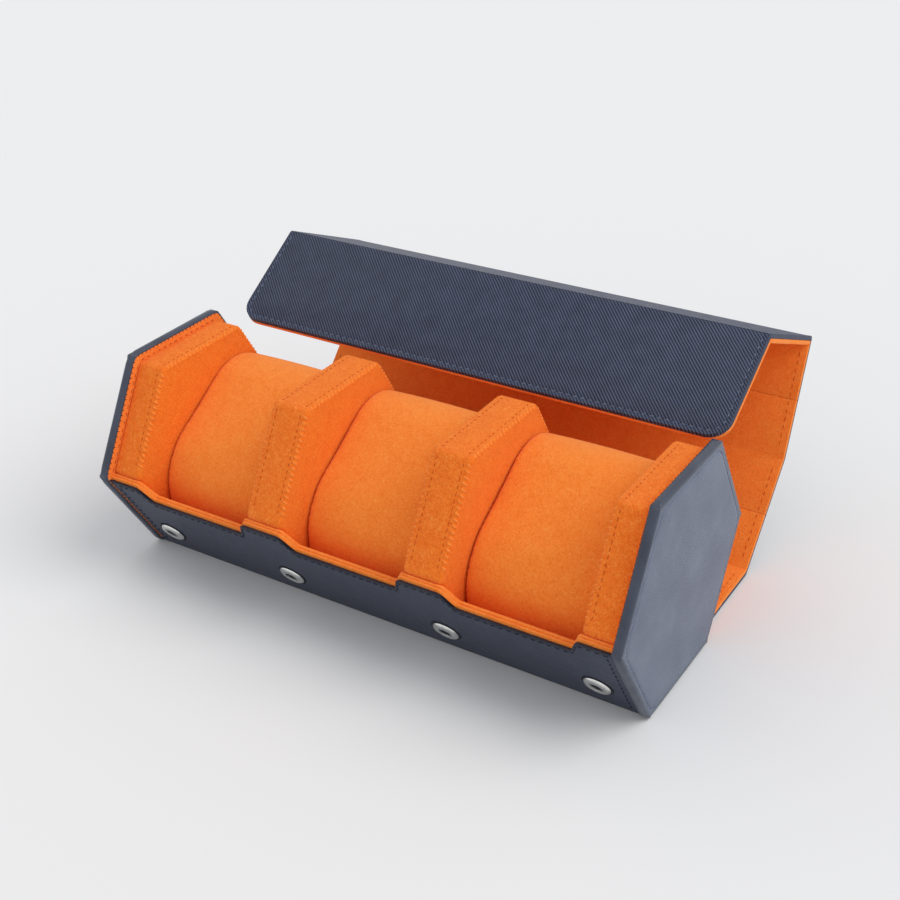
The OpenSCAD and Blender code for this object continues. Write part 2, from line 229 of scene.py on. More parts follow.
def markShare(piece, name, share):  # a number at each point, which the material reads by that name
    layer = piece.data.attributes.new(name, "FLOAT", "POINT")
    for v in piece.data.vertices:
        layer.data[v.index].value = float(share(v.co))


def mapFlat(piece, name, place):  # a flat map in metres, for a pattern that follows the surface
    uv = piece.data.uv_layers.new(name=name)
    flat = [place(v.co) for v in piece.data.vertices]
    for loop in piece.data.loops:
        uv.data[loop.index].uv = flat[loop.vertex_index]


def rowBetween(a, b, normal, pitch, slant=0.0):  # places for a straight row of stitches
    row = b - a
    count = max(1, round(row.length / pitch))
    along = Matrix.Rotation(slant, 3, normal) @ row.normalized()
    return [(a + row * (k + 0.5) / count, along, normal) for k in range(count)]


def resampled(path, pitch):  # even steps along a line of points, each with its heading
    walked, due, out = 0.0, pitch / 2, []
    for a, b in zip(path, path[1:]):
        step = (b - a).length
        while step and walked + step >= due:
            out.append((a + (b - a) * ((due - walked) / step), (b - a).normalized()))
            due += pitch
        walked += step
    return out


def stitchRow(name, places, size, material):  # one stitch modelled, then a copy at each place
    bpy.ops.mesh.primitive_uv_sphere_add(segments=6, ring_count=5, radius=0.5, rotation=(0, pi / 2, 0))
    bpy.context.object.scale = (size["thick"], size["thick"], size["length"])
    model = named("stitchModel")
    bpy.ops.object.shade_smooth()
    copies = []
    for point, along, normal in places:
        turn = Matrix((along, normal.cross(along), normal)).transposed().to_4x4()
        copies.append(copied(model, name, Matrix.Translation(point) @ turn))
    bpy.data.objects.remove(model)
    return paint(joined(name, copies), material)


def settle(piece, body, slot, *nodes):  # rides on its body and stands for its nodes
    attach(piece, body)
    if nodes:
        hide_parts(*nodes)


# materials
def groupWith(name, inputs, outputs):  # takes a vector and numbers, puts out numbers
    group = bpy.data.node_groups.new(name, "ShaderNodeTree")
    group.interface.new_socket("Vector", in_out="INPUT", socket_type="NodeSocketVector")
    for label, default in inputs.items():
        socket = group.interface.new_socket(label, in_out="INPUT", socket_type="NodeSocketFloat")
        socket.default_value = default
    for label in outputs:
        group.interface.new_socket(label, in_out="OUTPUT", socket_type="NodeSocketFloat")
    return group, group.nodes.new("NodeGroupInput").outputs, group.nodes.new("NodeGroupOutput").inputs


def add(tree, kind, inputs=None, **settings):  # a node, with values or links for its inputs
    node = tree.nodes.new(kind)
    for key, value in settings.items():
        setattr(node, key, value)
    for key, value in (inputs or {}).items():
        if isinstance(value, bpy.types.NodeSocket):
            tree.links.new(value, node.inputs[key])
        else:
            node.inputs[key].default_value = value
    return node


def maths(tree, operation, a, b=0.0, c=0.0):
    return add(tree, "ShaderNodeMath", {0: a, 1: b, 2: c}, operation=operation).outputs[0]


def noise(tree, vector, scale, detail=2.0, **more):
    inputs = {"Vector": vector, "Scale": scale, "Detail": detail, **more}
    return add(tree, "ShaderNodeTexNoise", inputs).outputs["Fac"]


def bumped(tree, height, distance, strength, **under):
    inputs = {"Height": height, "Distance": distance, "Strength": strength, **under}
    return add(tree, "ShaderNodeBump", inputs).outputs[0]


def mixed(tree, share, a, b):
    return add(tree, "ShaderNodeMix", {0: share, 6: a, 7: b}, data_type="RGBA").outputs[2]


# ridges: fine parallel ridges at a slant across a flat map, a little wavy
driftScale = 260.0  # how closely the ridges sway
ridges, gin, gout = groupWith("ridges", {"Pitch": 0.001, "Slant": 0.8, "Waver": 0.2}, ["Height"])
turned = add(ridges, "ShaderNodeVectorRotate", {"Vector": gin["Vector"], "Angle": gin["Slant"]},
             rotation_type="Z_AXIS")
split = add(ridges, "ShaderNodeSeparateXYZ", {"Vector": turned.outputs[0]})
phase = maths(ridges, "DIVIDE", split.outputs["X"], gin["Pitch"])
wander = maths(ridges, "MULTIPLY", noise(ridges, gin["Vector"], driftScale), gin["Waver"])
wave = maths(ridges, "SINE", maths(ridges, "MULTIPLY", maths(ridges, "ADD", phase, wander), 2 * pi))
ridges.links.new(maths(ridges, "MULTIPLY_ADD", wave, 0.5, 0.5), gout["Height"])

# nap: short fibres that lie in patches, lighter where they are brushed up
napForm = {"clumpScale": 1.6, "clumpDepth": -0.5, "fibreTone": 0.8, "patchTone": 0.2}
nap, gin, gout = groupWith("nap", {"Fineness": 900.0, "Patch": 45.0}, ["Height", "Brushed"])
fibre = noise(nap, gin["Vector"], gin["Fineness"], 3.0, Roughness=0.65, Distortion=1.2)
clumpScale = maths(nap, "MULTIPLY", gin["Fineness"], napForm["clumpScale"])
clump = add(nap, "ShaderNodeTexVoronoi", {"Vector": gin["Vector"], "Scale": clumpScale}).outputs["Distance"]
patch = noise(nap, gin["Vector"], gin["Patch"], 4.0, Roughness=0.6)
nap.links.new(maths(nap, "MULTIPLY_ADD", clump, napForm["clumpDepth"], fibre), gout["Height"])
patchy = maths(nap, "MULTIPLY", patch, napForm["patchTone"])
nap.links.new(maths(nap, "MULTIPLY_ADD", fibre, napForm["fibreTone"], patchy), gout["Brushed"])


def newMaterial(name, **values):
    material = bpy.data.materials.new(name)
    material.use_nodes = True
    tree = material.node_tree
    shader = tree.nodes["Principled BSDF"]
    for key, value in values.items():
        shader.inputs[key.replace("_", " ")].default_value = value
    return material, tree, shader


def feed(tree, shader, **sockets):  # links what drives the shader
    for key, value in sockets.items():
        tree.links.new(value, shader.inputs[key.replace("_", " ")])


def colourRamp(tree, fac, places, colours):
    ramp = add(tree, "ShaderNodeValToRGB", {"Fac": fac})
    elements = ramp.color_ramp.elements
    elements[0].position, elements[1].position = places[0], places[-1]
    for place in places[1:-1]:
        elements.new(place)
    for element, colour in zip(elements, colours):
        element.color = (*colour, 1)
    return ramp.outputs["Color"]


def ownPlace(tree):
    return add(tree, "ShaderNodeTexCoord").outputs["Object"]


hideForm = {"coatRoughness": 0.35, "tones": (0.25, 0.5, 0.85), "edgeMottle": (0.8, 0.5), "matt": (0.2, -0.1),
            "dentScale": 55.0, "dentDepth": 0.002, "dentBump": 0.25}


def leather(name, look, uvMap):
    material, tree, shader = newMaterial(
        name, Roughness=look["roughness"], Coat_Weight=look["coat"], Coat_Roughness=hideForm["coatRoughness"],
        Specular_IOR_Level=look["specular"])
    vector = add(tree, "ShaderNodeUVMap", uv_map=uvMap).outputs["UV"]
    edge = add(tree, "ShaderNodeAttribute", attribute_name="edge").outputs["Fac"]
    first, second = [
        add(tree, "ShaderNodeGroup", {"Vector": vector, "Pitch": look[pitch], "Slant": look[slant],
                                      "Waver": look["waver"]}, node_tree=ridges).outputs["Height"]
        for pitch, slant in (("pitch", "slant"), ("crossPitch", "crossSlant"))]
    both = maths(tree, "MULTIPLY_ADD", second, look["cross"], first)
    share = maths(tree, "DIVIDE", both, 1 + look["cross"])
    mottle = noise(tree, vector, look["mottle"], 5.0)
    even = maths(tree, "MULTIPLY", share, 1 - look["cloud"])
    tone = maths(tree, "MULTIPLY_ADD", mottle, look["cloud"], even)
    # colour follows the ridges: the light tone is a painted highlight on the ridge tops and the deep tone is
    # painted shade in the grooves, with random mottled tone mixed in
    grain = colourRamp(tree, tone, hideForm["tones"], (look["deep"], look["colour"], look["ridgeHighlight"]))
    # mottled edge colour along the marked edges: on the plates' rims it is the edge paint made darker as
    # painted shade, along the wall's top edge a darker band
    edgeTintShare = maths(tree, "MULTIPLY", edge, maths(tree, "MULTIPLY_ADD", mottle, *hideForm["edgeMottle"]))
    matt = maths(tree, "MULTIPLY_ADD", mottle, hideForm["matt"][0], look["roughness"] + hideForm["matt"][1])
    smooth = maths(tree, "MULTIPLY", share, maths(tree, "SUBTRACT", 1.0, edge))
    embossed = bumped(tree, smooth, look["depth"], look["bump"])
    feed(tree, shader, Base_Color=mixed(tree, edgeTintShare, grain, (*look["edge"], 1)),
         Roughness=maths(tree, "MULTIPLY_ADD", edge, -look["polish"], matt),
         Normal=bumped(tree, noise(tree, vector, hideForm["dentScale"]), hideForm["dentDepth"],
                       hideForm["dentBump"], Normal=embossed))
    return material


suedeForm = {"roughness": 0.95, "sheenRoughness": 0.5, "specular": 0.1, "tones": (0.3, 0.5, 0.7)}


def suede(name, look):
    material, tree, shader = newMaterial(
        name, Roughness=suedeForm["roughness"], Sheen_Weight=look["sheen"],
        Sheen_Roughness=suedeForm["sheenRoughness"], Sheen_Tint=(*look["sheenTint"], 1),
        Specular_IOR_Level=suedeForm["specular"])
    vector = ownPlace(tree)
    strip = add(tree, "ShaderNodeAttribute", attribute_name="strip").outputs["Fac"]
    heights, tones = [], []
    for part in (look, look["strip"]):
        fluff = add(tree, "ShaderNodeGroup", {"Vector": vector, "Fineness": part["fineness"],
                                              "Patch": look["patch"]}, node_tree=nap).outputs
        heights.append(fluff["Height"])
        tones.append(colourRamp(tree, fluff["Brushed"], suedeForm["tones"],
                                (part["deep"], part["colour"], part["light"])))
    coarse = maths(tree, "MULTIPLY", heights[1], maths(tree, "MULTIPLY", strip, look["strip"]["relief"]))
    fine = maths(tree, "MULTIPLY", heights[0], maths(tree, "SUBTRACT", 1.0, strip))
    feed(tree, shader, Base_Color=mixed(tree, strip, *tones),
         Normal=bumped(tree, maths(tree, "ADD", fine, coarse), look["depth"], look["bump"]))
    return material


def speckled(name, light, dark, form, **values):  # dark and light specks, raised a little
    material, tree, shader = newMaterial(name, **values)
    speck = noise(tree, ownPlace(tree), form["scale"], form["detail"])
    feed(tree, shader, Base_Color=colourRamp(tree, speck, form["tones"], (dark, light)),
         Normal=bumped(tree, speck, *form["relief"]))
    return material


threadForm = {"scale": 2500.0, "detail": 2.0, "tones": (0.35, 0.65), "relief": (0.0001, 0.6)}
fibreForm = {"detail": 8.0, "tones": (0.3, 0.7), "relief": (0.0002, 0.5)}
metalForm = {"scale": 700.0, "detail": 6.0, "rough": 0.7, "dull": 0.8, "tones": (0.3, 0.6), "scratch": 0.2}


def thread(name, light, dark):
    return speckled(name, light, dark, threadForm, Roughness=0.8, Specular_IOR_Level=0.2)


def plainFibre(name, light, dark, scale):
    return speckled(name, light, dark, dict(fibreForm, scale=scale), Roughness=0.9)


def metal(name, colour, roughness):
    material, tree, shader = newMaterial(name, Metallic=1.0)
    rub = noise(tree, ownPlace(tree), metalForm["scale"], metalForm["detail"], Roughness=metalForm["rough"])
    dull = tuple(metalForm["dull"] * c for c in colour)
    feed(tree, shader, Base_Color=colourRamp(tree, rub, metalForm["tones"], (dull, colour)),
         Roughness=maths(tree, "MULTIPLY_ADD", rub, metalForm["scratch"], roughness))
    return material


lidLeatherLook = {
    # the light tone is a painted highlight on the ridge tops, the deep tone painted shade in the grooves
    "colour": (0.028, 0.038, 0.078), "deep": (0.007, 0.010, 0.025), "ridgeHighlight": (0.098, 0.119, 0.190),
    "edge": (0.030, 0.040, 0.075), "roughness": 0.5, "coat": 0.0, "specular": 0.3,
    "pitch": 0.00104, "slant": 0.78, "waver": 0.35, "cross": 0.3, "crossPitch": 0.00095, "crossSlant": -0.5,
    "depth": 0.0002, "bump": 0.8, "mottle": 160.0, "cloud": 0.30, "polish": 0.0,
}
wallLeatherLook = dict(
    # the light tone is a painted highlight on the ridge tops, the deep tone painted shade in the grooves
    lidLeatherLook, colour=(0.037, 0.046, 0.076), ridgeHighlight=(0.078, 0.092, 0.134), edge=(0.010, 0.013, 0.026),
    cross=0.9, pitch=0.0007, crossPitch=0.0007, depth=0.00012, bump=0.6)
plateLeatherLook = {
    # the light tone is a painted highlight on the ridge tops, the deep tone painted shade in the grooves
    "colour": (0.135, 0.158, 0.220), "deep": (0.078, 0.096, 0.146), "ridgeHighlight": (0.250, 0.276, 0.345),
    # edge: the rim's edge paint, darkened in part as painted shade
    "edge": (0.038, 0.047, 0.073), "roughness": 0.5, "coat": 0.05, "specular": 0.35,
    "pitch": 0.00062, "slant": 0.6, "waver": 0.4, "cross": 0.9, "crossPitch": 0.00062, "crossSlant": -0.85,
    "depth": 0.00012, "bump": 0.7, "mottle": 70.0, "cloud": 0.45, "polish": 0.2,
}
blockSuedeLook = {
    "colour": (0.97, 0.205, 0.017), "deep": (0.80, 0.13, 0.008), "light": (1.0, 0.29, 0.042),
    "sheen": 0.24, "sheenTint": (1.0, 0.66, 0.32), "fineness": 1300.0, "patch": 220.0, "depth": 0.0005,
    "bump": 0.7,
    "strip": {"colour": (0.95, 0.195, 0.020), "deep": (0.80, 0.135, 0.011), "light": (1.0, 0.30, 0.050),
              "fineness": 850.0, "relief": 1.2},
}
cushionSuedeLook = dict(
    blockSuedeLook, colour=(1.0, 0.255, 0.033), deep=(0.85, 0.18, 0.017), light=(1.0, 0.36, 0.072),
    fineness=1250.0, bump=0.52, sheen=0.27, sheenTint=(1.0, 0.80, 0.46))
liningSuedeLook = dict(
    blockSuedeLook, colour=(1.0, 0.25, 0.036), deep=(0.84, 0.17, 0.018), light=(1.0, 0.36, 0.07),
    fineness=1400.0, depth=0.0004, bump=0.6, sheenTint=(1.0, 0.72, 0.42))

lidLeather = leather("lidLeather", lidLeatherLook, "wrapMap")
wallLeather = leather("wallLeather", wallLeatherLook, "wrapMap")
plateLeather = leather("plateLeather", plateLeatherLook, "faceMap")
blockSuede = suede("blockSuede", blockSuedeLook)
cushionSuede = suede("cushionSuede", cushionSuedeLook)
liningSuede = suede("liningSuede", liningSuedeLook)
navyThread = thread("navyThread", (0.20, 0.24, 0.33), (0.07, 0.085, 0.14))
darkThread = thread("darkThread", (0.030, 0.038, 0.068), (0.008, 0.011, 0.024))
orangeThread = thread("orangeThread", (1.0, 0.31, 0.060), (0.86, 0.19, 0.022))
liningThread = thread("liningThread", (0.80, 0.15, 0.016), (0.52, 0.078, 0.008))
seamThread = thread("seamThread", (0.64, 0.10, 0.010), (0.40, 0.050, 0.005))
nickel = metal("nickel", (0.80, 0.80, 0.78), 0.12)
steelWire = metal("steelWire", (0.50, 0.51, 0.53), 0.25)
rivetMetal = metal("rivetMetal", (0.42, 0.43, 0.45), 0.35)
boardFibre = plainFibre("boardFibre", (0.48, 0.36, 0.20), (0.34, 0.24, 0.12), 900.0)
foamFibre = plainFibre("foamFibre", (0.82, 0.76, 0.62), (0.66, 0.60, 0.46), 1800.0)
# near-black: painted shade in and round the snaps
snapShade = plainFibre("snapShade", (0.012, 0.013, 0.018), (0.006, 0.006, 0.009), 1200.0)

nodeFinish = {"grey_board": boardFibre, "foam": foamFibre, "navy_leather": wallLeather,
              "orange_suede": liningSuede, "snap_metal": nickel, "spring_wire": steelWire,
              "rivet_metal": rivetMetal}
for part in frame["record"]["subparts"]:
    paint(frame["nodes"][part["node"]], nodeFinish[part["material_slot"]])
print("materials made")

# the lid's leather and lining: one strip over each fold, from the middle of a panel to the next
panelBodies = ["lid_back_lower", "lid_back_upper", "lid_top", "lid_front", "flap"]
foldNodes = ["hinge_fold", "back_fold", "top_back_fold", "top_front_fold", "flap_fold"]
linkBodies = {3: "front_fold_roll", 4: "flap_fold_roll"}  # folds that turn about a link of their own
halfEnds = {"near": (-1, 0), "far": (0, 1), "whole": (-1, 1)}  # which sides of its fold a strip covers
basePanel = {"along": toBack, "inward": upwards}

bends = {"edgeRound": 0.00035, "sharp": radians(50), "liningBend": 0.0012, "bendStep": 14,
         "flatTurn": 0.01, "hingeSteps": 10, "hingeReach": 0.0017, "creaseDepth": 0.0019,
         "creaseSpare": 0.0014}
wrap = {
    "blendReach": 0.0035, "hingeBlend": 0.0019, "creaseReach": 0.0003, "supportIn": 0.0006,
    "backReach": folds[0].y - baseBack, "spare": 0.004, "corner": 0.0085, "cornerStitches": 3,
    "turnedEdge": 0.0017, "edgeBand": 0.0005,
    "leather": {"in": 0.00225, "rise": 0.00024, "gap": 0.001,
                "pitch": 0.0031, "length": 0.0020, "thick": 0.00055},
    "suede": {"in": 0.0028, "rise": 0.0, "gap": 0.0045, "pitch": 0.0031, "length": 0.0020, "thick": 0.0004},
}
weltSteps = [(0.0003, 0.0), (0.0007, 0.0), (0.0009, -0.00006), (0.00035, -0.00026), (0.00035, 0.00022)]

chainStart = [0.0]
for panel in panels:
    chainStart.append(chainStart[-1] + panel["length"])
bendTurn = [0.0]
for before, after in zip(panels, panels[1:]):
    bendTurn.append((turnOf(after["along"]) - turnOf(before["along"])) % (2 * pi))
bendLength = [turn * innerFace for turn in bendTurn]  # length of leather round the outside of each fold


def lastPanel(n):  # the panel before fold n
    return panels[n - 1] if n else basePanel


def chainPlace(co):  # distance along the lid's leather, with the leather round the folds counted in
    best = None
    for n, panel in enumerate(panels):
        offset = Vector((0, co.y, co.z)) - panel["start"]
        s = offset.dot(panel["along"])
        if n and s < 0 and offset.dot(panels[n - 1]["along"]) > 0:  # outside the fold
            turned = atan2(offset.dot(panels[n - 1]["along"]), -offset.dot(panels[n - 1]["inward"]))
            return chainStart[n] + sum(bendLength[:n]) + min(turned, bendTurn[n]) * innerFace
        s = min(max(s, 0.0) if n else s, panel["length"])
        gap = (offset - panel["along"] * s).length
        if best is None or gap < best[0]:
            best = (gap, chainStart[n] + sum(bendLength[:n + 1]) + s)
    return best[1]


def bentSheet(name, n, face, before, after, cornerRadius):
    # a sheet that runs over panel n-1 for the last "before", bends at fold n and runs on for "after"
    fold, along, inward = panels[n]["start"], panels[n]["along"], panels[n]["inward"]
    lastAlong, lastInward = lastPanel(n)["along"], lastPanel(n)["inward"]
    turn = (turnOf(along) - turnOf(lastAlong) + pi) % (2 * pi) - pi
    centre = 0.0 if face < 0 else face + bends["liningBend"]
    draw = centre * tan(turn / 2)  # how far before the fold the bend starts
    flat, creased = turn < bends["flatTurn"], face > 0 and n in linkBodies
    if flat:
        draw = bends["hingeReach"]
    elif creased:
        draw = face * tan(turn / 2) + bends["creaseSpare"]
    straight = before - draw
    middle = fold - lastAlong * (draw + straight / 2) + lastInward * face
    bpy.ops.mesh.primitive_plane_add(size=1, location=middle, rotation=(turnOf(lastAlong), 0, 0))
    bpy.context.object.scale = (2 * lidHalf, straight, 1)
    sheet = named(name)
    edge = fold - lastAlong * draw + lastInward * face
    choose(sheet, beyond(edge, lastAlong))
    if flat:
        for _ in range(bends["hingeSteps"]):
            extrudeBy(along * (2 * draw / bends["hingeSteps"]))
    elif creased:  # the lining sinks into the fold, so that it stays clear of the blocks when the fold opens
        crease = fold + (lastInward + inward).normalized() * bends["creaseDepth"]
        extrudeBy(crease - edge)
        extrudeBy(fold + along * draw + inward * face - crease)
    else:
        pivot = fold - lastAlong * draw + lastInward * centre
        steps = 2 * max(2, round(degrees(turn) / bends["bendStep"]))
        bpy.ops.mesh.spin(steps=steps, angle=-turn, center=pivot, axis=toRight)
    extrudeBy(along * (after - draw))
    leaveEdit()
    if cornerRadius:
        reshape(sheet, bpy.ops.mesh.bevel, beyond(fold + along * after, along), offset=cornerRadius,
                segments=8, affect="VERTICES")
    faceOut(sheet, middle, lastInward * copysign(1, face))
    return sheet


def roundSharp(sheet, skip):  # rounds the sharp edges, apart from those where both ends pass skip
    choose(sheet, lambda co: False)
    bpy.ops.mesh.select_mode(type="EDGE")
    bpy.ops.mesh.edges_select_sharp(sharpness=bends["sharp"])
    leaveEdit()
    mesh = sheet.data
    for e in mesh.edges:
        if e.select and all(skip(mesh.vertices[k].co) for k in e.vertices):
            e.select = False
    bpy.ops.object.mode_set(mode="EDIT")
    bpy.ops.mesh.bevel(offset=bends["edgeRound"], segments=2, affect="EDGES", clamp_overlap=True)
    leaveEdit()


def turnEdge(sheet):  # welt and sewn groove along the edge, then the edge itself turned inwards
    choose(sheet, everything, "FACE")
    insets(weltSteps)
    bpy.ops.mesh.select_mode(type="VERT")
    bpy.ops.mesh.select_all(action="DESELECT")
    bpy.ops.mesh.select_non_manifold(extend=False, use_wire=False, use_boundary=True, use_multi_face=False,
                                     use_non_contiguous=False, use_verts=False)
    bpy.ops.transform.shrink_fatten(value=-wrap["turnedEdge"])
    leaveEdit()


def onPanel(n, x, s, h):
    panel = panels[n]
    return panel["start"] + panel["along"] * s + panel["inward"] * h + toRight * x


def wrapStitches(n, half, before, after, face, sewn):  # places along the sides, and round the flap's tip
    h, way = face + sewn["rise"], copysign(1, face)
    turnStart, turnIn = after - wrap["corner"], wrap["corner"] - sewn["in"]

    def row(m, x, start, end):
        return rowBetween(onPanel(m, x, start, h), onPanel(m, x, end, h), panels[m]["inward"] * way,
                          sewn["pitch"])
    places = []
    for side in (-1, 1):
        x = side * (lidHalf - sewn["in"])
        if half != "far" and n:
            length = panels[n - 1]["length"]
            places += row(n - 1, x, length - before, length - sewn["gap"])
        if half != "near":
            places += row(n, x, sewn["gap"], after if n < 4 else turnStart)
        for k in range(wrap["cornerStitches"] if half != "near" and n == 4 else 0):
            a = pi / 2 * (k + 0.5) / wrap["cornerStitches"]
            x = side * (lidHalf - wrap["corner"] + turnIn * cos(a))
            heading = panels[4]["along"] * cos(a) - toRight * side * sin(a)
            places.append((onPanel(4, x, turnStart + turnIn * sin(a), h), heading, panels[4]["inward"] * way))
    if half != "near" and n == 4:
        ends = [onPanel(4, side * (lidHalf - wrap["corner"]), after - sewn["in"], h) for side in (-1, 1)]
        places += rowBetween(*ends, panels[4]["inward"] * way, sewn["pitch"])
    return places


def wrapStrip(kind, face, thickness, n, half):  # one strip with its stitches, and how far its bend reaches
    outside, sewn = kind == "leather", wrap[kind]
    fold, along, lastAlong = panels[n]["start"], panels[n]["along"], lastPanel(n)["along"]
    across = (lastAlong + along).normalized()
    before = panels[n - 1]["length"] / 2 if n else wrap["backReach"]
    after, spareEnd, corner = panels[n]["length"], 0.0, wrap["corner"]
    if n < 4:
        after, spareEnd, corner = after / 2, wrap["spare"], 0.0
    farEnd = fold + along * after
    name = f"{panelBodies[n]}_{kind}_{half}"
    sheet = bentSheet(name, n, face, before + wrap["spare"], after + spareEnd, corner)
    if outside:
        turnEdge(sheet)
    cutAway(sheet, fold - lastAlong * before, -lastAlong)
    if n < 4:
        cutAway(sheet, farEnd, along)
    modify(sheet, "SOLIDIFY", thickness=thickness, offset=-1)
    if half == "whole":
        reach = across * (wrap["blendReach"] if n else wrap["hingeBlend"])
    else:
        cutAway(sheet, fold, across, keep="inner" if half == "near" else "outer", fill=True)
        reach = across * (innerFace * sin(bendTurn[n] / 2) if outside else wrap["creaseReach"])
    for way in halfEnds[half]:
        if way:  # two lines that keep the bend's shading off the panel
            scoreLine(sheet, fold + reach * way, across)
            scoreLine(sheet, fold + (reach + across * wrap["supportIn"]) * way, across)

    def onSeam(co):  # the ends where the next sheet carries on
        return ((co - fold).dot(lastAlong) < nearly - before
                or half != "whole" and abs((co - fold).dot(across)) < nearly
                or n < 4 and beyond(farEnd, along)(co))
    roundSharp(sheet, onSeam)
    closeUp(sheet)
    mapFlat(sheet, "wrapMap", lambda co: (co.x, chainPlace(co)))
    markShare(sheet, "edge", lambda co: abs(co.x) > lidHalf - wrap["edgeBand"])
    stitches = stitchRow(name + "_stitches", wrapStitches(n, half, before, after, face, sewn), sewn,
                         navyThread if outside else liningThread)
    return sheet, stitches, reach


def makeWrap(kind, layer, face, thickness, material):
    for n, body in enumerate(panelBodies):
        last, link = "case" if n == 0 else panelBodies[n - 1], linkBodies.get(n)
        for half in ("near", "far") if link else ("whole",):
            sheet, stitches, reach = wrapStrip(kind, face, thickness, n, half)
            paint(sheet, material)
            for piece in (sheet, stitches):
                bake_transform(piece)
            if half != "near":
                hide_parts(f"{body}_{layer}", *([foldNodes[n]] if kind == "leather" else []))


makeWrap("leather", "leather", outerFace, layers["leather"], lidLeather)
makeWrap("suede", "lining", innerFace, innerFace, liningSuede)
print("lid made")

# base and front wall
slots = {"width": 0.0535, "divider": 0.016, "notchDepth": 0.0085, "notchRamp": 0.005, "rampSteps": 8}
slotPitch = slots["width"] + slots["divider"]
wallTop = layers["wallHeight"]


def notchDrop(x):  # how far the wall's top edge lies below its full height at x
    drop = 0.0
    for slot in (-1, 0, 1):
        inside = slots["width"] / 2 - abs(x - slot * slotPitch)
        if inside > 0:
            share = min(inside / slots["notchRamp"], 1.0)
            drop = slots["notchDepth"] * (1 - cos(pi * share)) / 2
    return drop


def scoreNotches(sheet):
    ramp = [slots["width"] / 2 - slots["notchRamp"] * step / slots["rampSteps"]
            for step in range(slots["rampSteps"] + 1)]
    for slot in (-1, 0, 1):
        for side in (-1, 1):
            for reach in ramp:
                scoreLine(sheet, toRight * (slot * slotPitch + side * reach), toRight)


def lowerNotches(sheet, topZone):  # moves the top of the wall down to the notches' outline
    for x in sorted({round(v.co.x, 6) for v in sheet.data.vertices}):
        drop = notchDrop(x)
        if drop > 0:
            reshape(sheet, bpy.ops.transform.translate,
                    lambda co: abs(co.x - x) < 2e-6 and (co - wallFoot).dot(wallUp) > wallTop - topZone,
                    value=wallUp * -drop)


wallForm = {"footRound": 0.0015, "footSteps": 4, "mapFoot": 0.0035, "edgeBevel": 0.00025}


def wallPlace(co):  # distance along the base, round the foot and up the wall
    up = (co - wallFoot).dot(wallUp)
    return (co.x, up if co.z > wallForm["mapFoot"] else wallFoot.y - co.y)


def wallSheet(name, base, outline, thickness, outward, topZone):
    # runs from the back edge along the base, bends up at the foot and follows its outline over the wall's top
    wallLine = wallPoint(0, -base)
    corner = Vector((0, wallLine.y + (base - wallLine.z) / wallUp.z * wallUp.y, base))
    bend = pi - layers["wallAngle"]
    reachBack = wallForm["footRound"] * tan(bend / 2)
    end = corner.y + reachBack
    bpy.ops.mesh.primitive_plane_add(size=1, location=(0, (baseBack + end) / 2, base))
    bpy.context.object.scale = (2 * bodyHalf, baseBack - end, 1)
    sheet = named(name)
    choose(sheet, lambda co: co.y < end + nearly)
    bpy.ops.mesh.spin(steps=wallForm["footSteps"], angle=bend, center=(0, end, base + wallForm["footRound"]),
                      axis=toRight)
    previous = corner + wallUp * reachBack
    for down, out in outline:
        point = wallPoint(wallTop - down, out)
        extrudeBy(point - previous)
        previous = point
    leaveEdit()
    scoreNotches(sheet)
    lowerNotches(sheet, topZone)
    faceOut(sheet, upwards * base, outward)
    modify(sheet, "SOLIDIFY", thickness=thickness, offset=-1)
    modify(sheet, "BEVEL", width=wallForm["edgeBevel"], segments=2, limit_method="ANGLE",
           angle_limit=bends["sharp"])
    closeUp(sheet)
    mapFlat(sheet, "wrapMap", wallPlace)
    return sheet


lip = {"fixedRow": 0.0130, "outDepth": 0.0011, "round": 0.0007, "liningDown": 0.003, "liningThick": 0.0009,
       "seam": 0.0026, "seamHalf": 0.00035, "seamDeep": 0.0005, "leatherZone": 0.003, "liningZone": 0.0035,
       "edgeBand": 0.00115, "stitchDown": 0.0024, "stitchOut": 0.00002, "samples": 800}
sideRow = {"in": 0.0030, "foot": 0.003, "down": 0.004, "out": 0.00005}
# outlines over the wall's top, each point down from it and out of the wall
hemOutline = [  # a sewn groove, the hem's swell, its edge
    (lip["fixedRow"], 0.0), (0.0028, 0.0), (0.0024, -0.00016), (0.0020, 0.00002), (0.0011, 0.0002),
    (0.0003, 0.00012), (0.0, -0.0001)]
inner = layers["base"]
liningOutline = [  # the lining turns over the top, with a seam along it
    (lip["fixedRow"], -inner), (lip["round"], -inner), (0.0, lip["round"] - inner),
    (0.0, -lip["seam"] - lip["seamHalf"]), (lip["seamDeep"], -lip["seam"]),
    (0.0, lip["seamHalf"] - lip["seam"]), (0.0, -lip["outDepth"] - lip["round"]),
    (lip["round"], -lip["outDepth"]), (lip["liningDown"], -lip["outDepth"])]
wallShell = wallSheet("frontWallLeather", 0.0, hemOutline, layers["leather"], -upwards, lip["leatherZone"])


def onHem(co):  # the wall's top edge, but not the base
    up = (co - wallFoot).dot(wallUp)
    return co.z > 0.01 and up > wallTop - notchDrop(co.x) - lip["edgeBand"]


# the edge colour makes the wall's top edge darker
markShare(wallShell, "edge", onHem)
paint(wallShell, wallLeather)
settle(wallShell, "case", "navy_leather", "base_leather")

wallLining = wallSheet("frontWallLining", inner, liningOutline, lip["liningThick"], upwards,
                       lip["liningZone"])
paint(wallLining, liningSuede)
settle(wallLining, "case", "orange_suede", "base_lining")


